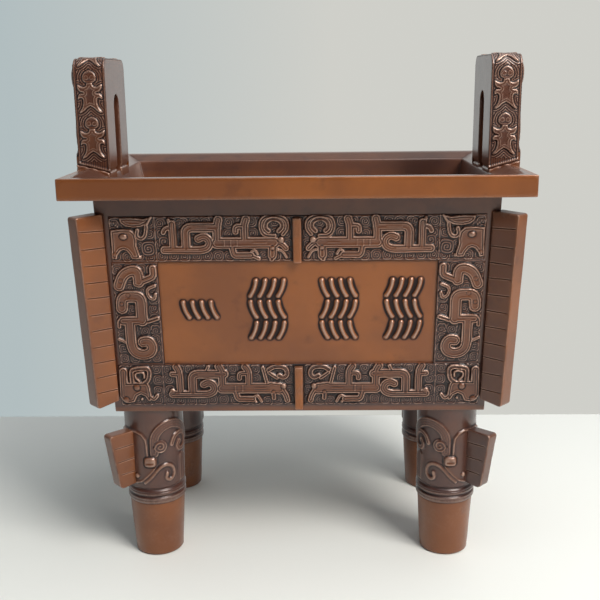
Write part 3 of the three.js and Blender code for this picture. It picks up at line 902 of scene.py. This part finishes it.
def makeLeg():
    plain = np.concatenate([[0, 0.35, 0.7, 2], np.linspace(5, 48, 10), np.arange(48.6, 65.9, 0.4)])
    up = np.concatenate([plain, np.arange(66, 127, 0.72), [128, 131, 135, 139]])
    rows, turns = len(up), 208
    angle, height = np.meshgrid(np.linspace(-math.pi, math.pi, turns, endpoint=False), up)
    across = np.abs(angle) * leg["top"]
    fade = ramp(height, 65.6, 67) * ramp(126.5 - height, 0, 1)
    carved = legMask(across, height) * fade * ramp(66 - across, 0, 3)
    wobble = 0.12 * np.sin(height / 11 + 2 * angle) + 0.1 * np.cos(3 * angle + height / 17)
    radius = legRadius(height) + carved + wobble * ramp(height, 1, 8)
    points = np.stack([radius * np.cos(angle), radius * np.sin(angle), height], -1).reshape(-1, 3)
    index = np.arange(rows * turns).reshape(rows, turns)
    after = np.roll(index, -1, axis=1)
    quads = np.stack([index[:-1], after[:-1], after[1:], index[1:]], -1).reshape(-1, 4).tolist()
    piece = meshPiece("leg", points, quads + [index[0, ::-1].tolist(), index[-1].tolist()])
    ring = legRadius(height) - np.interp(height, [0, 49, 66, 140], [leg["foot"], leg["ankle"], 24.6, 24.8])
    crest = (carved - blur(carved, 2)) * 0.9 + (carved - blur(carved, 6)) * 0.3
    crest += np.where(height < 65.5, np.clip(ring * 0.7 - 0.3, -0.3, 0.4), 0) * ramp(height, 49, 50)
    # the plain foot is rubbed paler: worn metal, and a painted sheen standing for its grey reflection
    crest += 0.2 * ramp(50 - height, 0, 4)
    patina = 0.2 + 0.7 * ramp(height, 48.5, 51) - 0.3 * ramp(carved, 0.8, 1.4)
    setLook(piece, np.clip(crest, -1, 1).reshape(-1), patina.reshape(-1))
    smoothFaces(piece, 60)
    return piece


def standLeg(pattern, name, sign):
    piece = pattern.copy()
    piece.data = pattern.data.copy()
    piece.name = piece.data.name = name
    bpy.context.scene.collection.objects.link(piece)
    turnTo(piece, sign, leg)
    return piece


legPattern = makeLeg()
legPieces = [standLeg(legPattern, "leg" + name, sign) for sign, name in zip(signs, cornerNames)]
bpy.data.objects.remove(legPattern)
print("legs done")


# ears
ear = {
    "inner": {-1: 156.2, 1: 157.4},  # the left ear is a little thicker
    "outer": 182,
    "y": 37.7,
    "top": 418.9,
    "corner": 9,
    "slot": 9,
    "slotTop": 390,
    "root": 319,
    "patina": 0.9,
}
earFoot = {"y": 39.4, "outer": 183.8, "low": 327, "high": 334, "patina": 0.7}
creature = {"feet": (338.5, 375.4, 412.3), "tall": 34.7, "scale": 0.945, "proud": 1.15, "lines": 1.9}


def earPlate(name, side):
    y, corner, slot = ear["y"], ear["corner"], ear["slot"]
    outline = [(-slot, ear["root"]), (-y, ear["root"])]
    outline += arcPoints(-y + corner, ear["top"] - corner, corner, 180, 90, 8)
    outline += arcPoints(y - corner, ear["top"] - corner, corner, 90, 0, 8)
    outline += [(y, ear["root"]), (slot, ear["root"])]
    outline += arcPoints(0, ear["slotTop"] - slot * 1.15, slot, 0, 180, 14, 1.15)
    bpy.ops.mesh.primitive_circle_add(vertices=len(outline), radius=1, fill_type="NGON")
    piece = bpy.context.object
    piece.name = name
    inner = ear["inner"][side]
    moveVertices(piece, lambda points: np.array([(inner, u, v) for u, v in outline[::-1]]))
    editPiece(piece)
    bpy.ops.mesh.select_all(action="SELECT")
    bpy.ops.mesh.extrude_region_move()
    bpy.ops.transform.translate(value=((ear["outer"] - inner) * mm, 0, 0))
    bpy.ops.mesh.select_all(action="SELECT")
    bpy.ops.mesh.normals_make_consistent(inside=False)
    bpy.ops.object.mode_set(mode="OBJECT")
    softenEdges(piece, 1.2, 50)
    cutAcross(piece, "z", [325, 331, 338, 346, 354, 362, 370, 378, 386, 394, 402, 408, 412, 415])
    cutAcross(piece, "y", [-36, -33, -24, -14, -10.5, 0, 10.5, 14, 24, 33, 36])
    cutAcross(piece, "x", [160.4, 165, 170, 175, 179.8])
    moveVertices(piece, lambda points: points + np.outer(
        ramp(331 - points[:, 2], 0, 9) * (points[:, 0] < inner + 1.6), (3.6, 0, 0)))  # back into the rim
    moveVertices(piece, lambda points: points * (side, side, 1))
    return finishPlain(piece, 35, ear["patina"])


def creatureHeight(across, rise):  # a small figure: a round face, flaring arms and hips, and curved legs
    x = np.abs(across)
    rise = rise / creature["scale"]
    half = [(2.4, 26), (2.8, 23), (6, 22.4), (10.2, 25), (10, 21.2), (8, 18.4), (5, 17.8), (5, 17.1),
            (8.2, 17), (9.8, 15), (10.2, 11.8), (8, 13.4), (5.8, 12.8), (5.7, 9), (6.8, 4.8), (9.6, 1),
            (8.6, 0.2), (5.6, 1.8), (3, 4.6), (0, 6.4)]
    body = areaDistance(x, rise, eased(half, 1.2) + [(-4, 4.4), (-4, 26)])
    height = creature["proud"] * ramp(-body, -0.7, 0.5) + 0.5 * bump(body + 0.7, 0.5)
    outline = eased([(0, 26), (3.4, 26), (5.8, 28.4), (5.6, 32), (3.4, 35.2), (0, 36.6)], 2)
    face = areaDistance(x, rise, outline + [(-4, 36.6), (-4, 26)])
    height = np.where(face < 0.4, np.maximum(height, 0.75 * ramp(-face, -0.5, 0.4)), height)
    height += 0.5 * bump(face + 0.7, 0.45) * (body > 0)
    eye = np.hypot(x - 2.3, rise - 30.4)
    height += (0.55 * bump(eye - 1.5, 0.5) + 0.5 * bump(eye, 0.6)) * (face < 0)
    height += 0.45 * bump(body + 2.6, 0.45)
    distance = np.minimum(body, face)
    nested = (0.5 + 0.5 * np.cos(2 * math.pi * (distance - 1.5) / creature["lines"])) ** 1.2
    return height + 0.8 * nested * ramp(distance, 0.7, 1.3) * ramp(8 - distance, 0, 3)


def earEdge(across, up, half):  # creatures one above another up the ear's narrow side and over its top
    height = np.zeros(across.shape)
    for foot in creature["feet"]:
        rise = up - foot
        height = np.where((rise > -2.2) & (rise <= creature["tall"]), creatureHeight(across, rise), height)
    height = np.where(up < 336.4, 0.4 * (0.5 + 0.5 * np.cos(across * 3.4)), height)
    height *= ramp(half - 2.0 - np.abs(across), 0, 0.7)
    height += 0.7 * bump(np.abs(across) - half + 0.8, 0.6)
    return np.clip(height, 0, 1.9)


def earTiger(across, up):  # two rearing tigers facing a small round mask over the slot
    x = np.abs(across)
    bodies = [
        (rounded([(33.5, 333), (34.6, 340), (28, 345), (24.5, 352), (26, 372), (25, 388), (20, 399)], 2),
         8.4),
        (rounded([(25, 350), (18, 350), (13.4, 344)], 1), 4.4),
        (rounded([(26, 381), (19, 381), (13.2, 375)], 1), 4.4),
        (rounded([(31, 372), (34, 360), (32.6, 350)], 1), 2.6),
        ([(20, 400), (12, 398)], 5.4),
        ([(19, 404), (11.6, 407)], 4.2),
    ]
    distance = drawFigures(x, up, bodies)
    head = np.hypot((x - 25) / 11, (up - 404) / 10.5)
    distance = np.minimum(distance, (head - 1) * 9)
    height = 1.5 * ramp(-distance, -0.6, 0.8) + 0.35 * bump(distance + 1, 0.5)
    height += 0.9 * np.sqrt(np.clip(1.02 - head ** 2, 0, 1))
    height += 0.25 * (0.5 + 0.5 * np.cos(up * 1.35)) * ramp(-distance, 1.4, 2)
    mask = np.hypot(x, (up - 403.4) * 0.86)
    height = np.maximum(height, 1.9 * ramp(4.8 - mask, -0.4, 1.2))
    for eye, radius, proud in (((20.6, 406.4), 1.5, 0.7), ((1.8, 404.4), 0.9, 0.5), ((29, 408), 3.4, 0.35)):
        near = np.hypot(x - eye[0], up - eye[1])
        height += proud * bump(near, radius * 0.6) - 0.45 * bump(near - radius, 0.5)
    jaw = lineDistance(x, up, [(12, 403), (19, 402), (23, 399.4)])
    height -= 0.6 * bump(jaw, 0.6) * (mask > 5.6)
    stripes = 0.5 + 0.5 * np.cos((x - up) * 1.5)
    height -= 0.25 * stripes * ramp(0.9 - head, 0, 0.3) * (x > 24) * (up < 402)
    height += 0.35 * (0.5 + 0.5 * np.cos((x + up) * 2.4)) * ramp(distance, 0.8, 1.4) * (mask > 5.6)
    height += 0.6 * bump(x - 36.2, 0.5)
    return np.clip(height, 0, 2.3)


def earBand(name, side):  # one strip of relief up the front edge, over the top and down the back edge
    inner, outer, y, corner = ear["inner"][side], ear["outer"], ear["y"], ear["corner"]
    foot, half = 325.0, (outer - inner) / 2 - 0.1
    straight = ear["top"] - corner - foot
    bend = corner * math.pi / 2
    length = straight + bend + y - corner
    across, along = np.meshgrid(np.linspace(-half, half, 44),
                                np.linspace(0, 2 * length, round(4 * length / 1.15)))
    run = np.minimum(along, 2 * length - along)
    height = earEdge(across, run + foot, half)
    lowEdge = earFoot["low"] + (across * side + half) / (2 * half) * (earFoot["high"] - earFoot["low"])
    over = run + foot - lowEdge
    height = height * ramp(over, 0.6, 1.8) + 0.9 * bump(over - 1.5, 0.9)

    def place(a, s, h):
        run = np.minimum(s, 2 * length - s)
        back = np.where(s > length, -1, 1)
        turn = np.clip((run - straight) / corner, 0, math.pi / 2)
        flat = np.clip(run - straight - bend, 0, None)
        out = h + 0.1
        deep = -y + corner - (corner + out) * np.cos(turn) + flat
        rise = foot + np.minimum(run, straight) + (corner + out) * np.sin(turn)
        return np.stack([side * (inner + outer) / 2 + a, back * deep, rise], -1)

    return slabPiece(name, across, along, height, 1.2, place, -0.14, 1, 0.05)


def earRelief(name, side):  # the band, and a slab on each side of the slot and one over it on the outer face
    parts = [earBand(name, side)]
    y, gap = ear["y"] - 0.4, ear["slot"] + 0.8
    beside = (333.5, ear["slotTop"] - 1)
    for left, right, foot, top in ((gap, y, *beside), (-y, -gap, *beside), (-y, y, 389.2, ear["top"] - 1.4)):
        across, up = gridOver(left, right, foot, top, 0.66)
        if top > ear["slotTop"]:  # follows the rounded shoulders
            over = np.clip(np.abs(across) - (ear["y"] - ear["corner"]), 0, ear["corner"] - 0.6)
            shoulder = ear["corner"] - np.sqrt(ear["corner"] ** 2 - over ** 2)
            up = foot + (up - foot) * (top - foot - shoulder) / (top - foot)
        parts.append(slabPiece(name, across, up, earTiger(across, up), 1.5,
                               lambda a, u, h: np.stack([side * (ear["outer"] + h + 0.1), side * a, u], -1),
                               -0.1, 1, 0.1))
    piece = joinPieces(name, parts)
    editPiece(piece)
    bpy.ops.mesh.select_all(action="SELECT")
    bpy.ops.mesh.normals_make_consistent(inside=False)
    bpy.ops.object.mode_set(mode="OBJECT")
    smoothFaces(piece, 60)
    return piece


def footWave(points):  # the uneven metal where an ear was cast on to the rim
    x, y, z = points.T
    waves = np.stack([np.sin(z * 1.7 + y) * (x > 180), np.sin(x * 0.9) * 0.6,
                      np.sin(x * 0.8 + y * 0.6) * (z > 325)], 1)
    return points + 0.3 * waves


def makeEarFoot(name, side):
    parts = []
    inner = ear["inner"][side]
    for end in (-1, 1):
        def toWedge(points):
            x = np.where(points[:, 0] < 0, inner + 0.5, earFoot["outer"])
            y = np.where(points[:, 1] < 0, ear["slot"] + 0.2, earFoot["y"]) * end
            top = np.where(points[:, 0] < 0, earFoot["low"], earFoot["high"])
            return np.stack([x, y, np.where(points[:, 2] < 0, ear["root"], top)], 1)

        piece = newCube(name, toWedge)
        softenEdges(piece, 1.2, 40)
        cutAcross(piece, "x", np.arange(161, 183, 2.5))
        cutAcross(piece, "y", [end * place for place in np.arange(12, 38, 3)])
        cutAcross(piece, "z", [323, 326, 329, 331.5])
        moveVertices(piece, footWave)
        moveVertices(piece, lambda points: points * (side, side, 1))
        parts.append(piece)
    return finishPlain(joinPieces(name, parts), 40, earFoot["patina"])


earPieces = []
for side, name in ((-1, "Left"), (1, "Right")):
    earPieces.append(earPlate("ear" + name, side))
    earPieces.append(earRelief("earCarving" + name, side))
    earPieces.append(makeEarFoot("earFoot" + name, side))
print("ears done")


# raised strokes on the front field
strokeRows = {
    "places": (-78.5, -24.5, 32.5, 84),
    "rows": (1, 3, 3, 3),
    "middle": 222.5,
    "rise": 17.5,
    "count": 4,
    "pitch": 7.4,
    "tall": 12.5,
    "lean": 4.6,
    "bow": 0.9,
    "wide": 3.5,
    "proud": 2.0,
    "step": 0.68,  # of the field's mesh
    "shades": ((4, 0.55), (9, 0.25)),  # reach and depth of the painted shadow round a stroke, partly dark patina
}


def strokePaths():  # rows of short strokes, each row leaning the other way: a pattern that spells nothing
    rule = strokeRows
    for patch, (place, rows) in enumerate(zip(rule["places"], rule["rows"])):
        for row in range(rows):
            up = rule["middle"] + (row - (rows - 1) / 2) * rule["rise"]
            lean = rule["lean"] / 2 * (1 if (patch + row) % 2 else -1)
            for i in range(rule["count"]):
                across = place + (i - (rule["count"] - 1) / 2) * rule["pitch"]
                yield [(across + lean * t + rule["bow"] * (1 - t * t) * math.copysign(1, lean),
                        up + rule["tall"] / 2 * t) for t in np.linspace(-1, 1, 5)]


def makeField(name):  # the sunken front field with its strokes
    half = wallHalf(0) - ornament["corner"] - 0.3
    foot, top, step = ornament["low"], ornament["split"], strokeRows["step"]
    across, up = np.meshgrid(np.arange(-half, half, step), np.arange(foot + 0.2, top - 0.2, step))
    height = np.zeros(across.shape)
    for path in strokePaths():
        near = lineDistance(across, up, path) / (strokeRows["wide"] / 2)
        height = np.maximum(height, strokeRows["proud"] * np.clip(1 - near ** 2, 0, 1) ** 0.6)
    height = blur(height, 1)
    cast = ramp(height, 0.05, 0.6)
    edge = np.minimum(np.minimum(across + half, half - across), np.minimum(up - foot, top - up))
    # painted shade along the field's sunken edges, and painted shadow with some dark patina round each stroke
    shade = 0.25 * ramp(3.5 - edge, 0, 3)
    for reach, depth in strokeRows["shades"]:
        shade += depth * blur(cast, reach) * (1 - cast)
    height += 0.12 * np.sin(across / 23) * np.cos(up / 19)
    sunk = bowl["panelDepth"] - wallDetail["clear"]
    piece = slabPiece(name, across, up, height, 0.6, lambda a, u, h: wallPoints(0, a, u, h - sunk), shade, 0)
    smoothFaces(piece, 60)
    return piece


strokePiece = makeField("frontField")
print("strokes done")


# shader maths: sums of sockets are written plainly
class Socket:  # one output of a shader node
    def __init__(self, shader, output):
        self.shader = shader
        self.output = output

    def __add__(self, other):
        return self.shader.math("ADD", self, other)

    def __radd__(self, other):
        return self.shader.math("ADD", other, self)

    def __sub__(self, other):
        return self.shader.math("SUBTRACT", self, other)

    def __rsub__(self, other):
        return self.shader.math("SUBTRACT", other, self)

    def __mul__(self, other):
        return self.shader.math("MULTIPLY", self, other)

    def __rmul__(self, other):
        return self.shader.math("MULTIPLY", other, self)

    def __truediv__(self, other):
        return self.shader.math("DIVIDE", self, other)

    def __pow__(self, other):
        return self.shader.math("POWER", self, other)


class Shader:  # the nodes of a material, or of the world
    def __init__(self, owner, last="Principled BSDF"):
        owner.use_nodes = True
        self.nodes = owner.node_tree.nodes
        self.links = owner.node_tree.links
        self.last = self.nodes[last]

    def node(self, kind, inputs, output=0, **settings):
        made = self.nodes.new(kind)
        for setting, value in settings.items():
            setattr(made, setting, value)
        for slot, value in inputs.items():
            self.feed(made.inputs[slot], value)
        return Socket(self, made.outputs[output])

    def feed(self, target, value):
        if isinstance(value, Socket):
            self.links.new(value.output, target)
        else:
            target.default_value = value

    def finish(self, inputs):  # feeds the last node
        for slot, value in inputs.items():
            self.feed(self.last.inputs[slot], value)

    def math(self, operation, *values):
        return self.node("ShaderNodeMath", dict(enumerate(values)), operation=operation)

    def limit(self, value):
        return self.node("ShaderNodeMath", {0: value, 1: 0.0}, operation="ADD", use_clamp=True)

    def ramp(self, value, low, high):  # eased from 0 at low to 1 at high
        return self.node("ShaderNodeMapRange", {"Value": value, "From Min": low, "From Max": high},
                         interpolation_type="SMOOTHSTEP")

    def spread(self, value, low, high):  # straight from 0 at low to 1 at high
        return self.node("ShaderNodeMapRange", {"Value": value, "From Min": low, "From Max": high})

    def mix(self, share, first, second):
        return self.node("ShaderNodeMix", {"Factor": share, 6: first, 7: second}, 2, data_type="RGBA")

    def noise(self, place, scale, detail):
        return self.node("ShaderNodeTexNoise", {"Vector": place, "Scale": scale, "Detail": detail})

    def bump(self, height, distance, strength, under=None):  # under is a normal that this one is added to
        inputs = {"Height": height, "Distance": distance, "Strength": strength}
        if under:
            inputs["Normal"] = under
        return self.node("ShaderNodeBump", inputs)


def colour(red, green, blue):  # from 0-255 as seen on a screen
    return (*[(value / 255) ** 2.2 for value in (red, green, blue)], 1)


bronzeLook = {
    # deep and hollow serve as dark patina in the hollows and as painted shade there
    "deep": colour(26, 15, 16),
    "hollow": colour(48, 29, 29),
    "ground": colour(118, 68, 34),
    "warm": colour(138, 80, 36),
    "dark": colour(62, 37, 35),
    "worn": colour(182, 148, 130),
    "grime": colour(84, 48, 29),
    "metallic": 0.22,
    "roughness": 0.46,
    "coat": 1.0,
    "coatIor": 1.55,
    "coatRoughness": 0.26,
    "shine": 0.25,
}


def makeBronze():  # brown patina, dark in the hollows with patina and painted shade, and rubbed pale on the crests
    look = bronzeLook
    material = bpy.data.materials.new("bronze")
    shader = Shader(material)
    place = shader.node("ShaderNodeTexCoord", {}, "Object")
    wearAndShade = shader.node("ShaderNodeAttribute", {}, "Fac", attribute_name="wearAndShade")
    patina = shader.node("ShaderNodeAttribute", {}, "Fac", attribute_name="patina")
    clouds = shader.noise(place, 14, 4)
    blotches = shader.noise(place, 55, 5)
    grain = shader.noise(place, 420, 4)
    rubbed = shader.limit(shader.ramp(wearAndShade + (blotches - 0.5) * 0.5 + (grain - 0.5) * 0.3, 0.14, 0.9))
    # darker in the hollows: dark patina there, and painted shade standing in for the shade that falls in
    # recesses and where shade terms lowered the values
    sunk = shader.limit(shader.ramp(0.0 - wearAndShade + (blotches - 0.5) * 0.4, 0.02, 0.65))
    tone = shader.mix(shader.ramp(clouds, 0.35, 0.65), look["ground"], look["warm"])
    tone = shader.mix(shader.ramp(blotches, 0.56, 0.74) * 0.4, tone, look["grime"])
    tone = shader.mix(shader.ramp(shader.noise(place, 6, 2), 0.48, 0.68) * 0.22, tone, look["grime"])
    high = shader.node("ShaderNodeSeparateXYZ", {0: place}, 2)
    paintedLowShade = 1.0 - shader.ramp(high, 0.06, 0.29) * 0.3  # patina stronger lower down: painted shade, the lower walls darker as less light reaches them
    tone = shader.mix(shader.limit((patina + (blotches - 0.5) * 0.5 * patina) * paintedLowShade), tone, look["dark"])
    tone = shader.mix(sunk * 0.9, tone, look["hollow"])
    tone = shader.mix(shader.limit(sunk * 1.5 - 0.6), tone, look["deep"])
    tone = shader.mix(rubbed * 0.72, tone, look["worn"])
    roughness = look["roughness"] + sunk * 0.2 - rubbed * 0.08
    roughness = roughness + (grain - 0.5) * 0.12 + (blotches - 0.5) * 0.14
    pits = shader.bump(shader.noise(place, 900, 3), 0.00006, 0.6)
    shader.finish({
        "Base Color": tone,
        "Roughness": roughness,
        "Metallic": look["metallic"] + rubbed * 0.3 - sunk * 0.25,
        "Coat Weight": look["coat"] - (1.0 - patina) * 0.35 - sunk * 0.5,
        "Coat Roughness": look["coatRoughness"],
        "Coat IOR": look["coatIor"],
        "Specular IOR Level": look["shine"],
        "Normal": shader.bump(shader.noise(place, 32, 2), 0.0009, 0.5, pits),
    })
    return material


bronze = makeBronze()
castPieces = wallPieces + [bowlPiece, strokePiece] + finPieces + legPieces + earPieces
for piece in castPieces:
    piece.data.materials.clear()
    piece.data.materials.append(bronze)
print("materials done")


# stage: a pale floor with a studio behind it, in metres
stage = {
    "floor": colour(226, 230, 228),
    "size": 14,
    "edge": 0.245,  # the floor ends this far behind the vessel's middle
    "sink": 0.0005,
    "cool": colour(176, 188, 190),  # studio seen at the left and at the right
    "studio": colour(206, 206, 200),
    "front": colour(68, 71, 74),  # studio that lights the metal from the front and from behind
    "behind": colour(208, 211, 209),
}
lights = {
    "key": {"place": (1.0, -1.1, 1.5), "size": (0.9, 0.9), "power": 39, "tint": (1.0, 0.94, 0.87)},
    "fill": {"place": (-1.5, -0.6, 1.1), "size": (0.8, 1.2), "power": 1.2, "tint": (0.86, 0.96, 1.0)},
    "top": {"place": (0.45, -0.35, 1.9), "size": (1.9, 1.5), "power": 19, "tint": (1, 1, 1)},
}
lightAim = (0, 0, 0.2)


def makeFloor():
    bpy.ops.mesh.primitive_plane_add(size=stage["size"],
                                     location=(0, stage["edge"] - stage["size"] / 2, -stage["sink"]))
    floor = bpy.context.object
    floor.name = "floor"
    bpy.ops.object.transform_apply(location=True)
    cloth = bpy.data.materials.new("floor")
    Shader(cloth).finish({"Base Color": stage["floor"], "Roughness": 0.8})
    floor.data.materials.append(cloth)


def makeStudio():
    world = bpy.data.worlds.new("studio")
    bpy.context.scene.world = world
    shader = Shader(world, "Background")
    way = shader.node("ShaderNodeTexCoord", {}, "Generated")
    deep = shader.node("ShaderNodeSeparateXYZ", {0: way}, "Y")
    across = shader.node("ShaderNodeSeparateXYZ", {0: way}, "X")
    room = shader.mix(shader.spread(deep, -0.2, 0.9), stage["front"], stage["behind"])
    wall = shader.mix(shader.spread(across, -0.32, 0.02), stage["cool"], stage["studio"])
    seen = shader.node("ShaderNodeLightPath", {}, "Is Camera Ray")
    shader.finish({"Color": shader.mix(seen, room, wall)})


def addLight(name, place, size, power, tint):
    data = bpy.data.lights.new(name, "AREA")
    data.shape = "RECTANGLE"
    data.size, data.size_y = size
    data.energy = power
    data.color = tint
    light = bpy.data.objects.new(name, data)
    bpy.context.scene.collection.objects.link(light)
    light.location = place
    light.rotation_euler = (Vector(lightAim) - Vector(place)).to_track_quat("-Z", "Y").to_euler()


makeFloor()
makeStudio()
for name, light in lights.items():
    addLight(name, **light)
bpy.context.scene.view_settings.view_transform = "Standard"
print("stage done")

for piece in castPieces:
    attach(piece, "root")
    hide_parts("square_ding")
triangles = sum(len(face.vertices) - 2 for piece in castPieces for face in piece.data.polygons)
print("pieces", len(castPieces), "triangles", triangles)
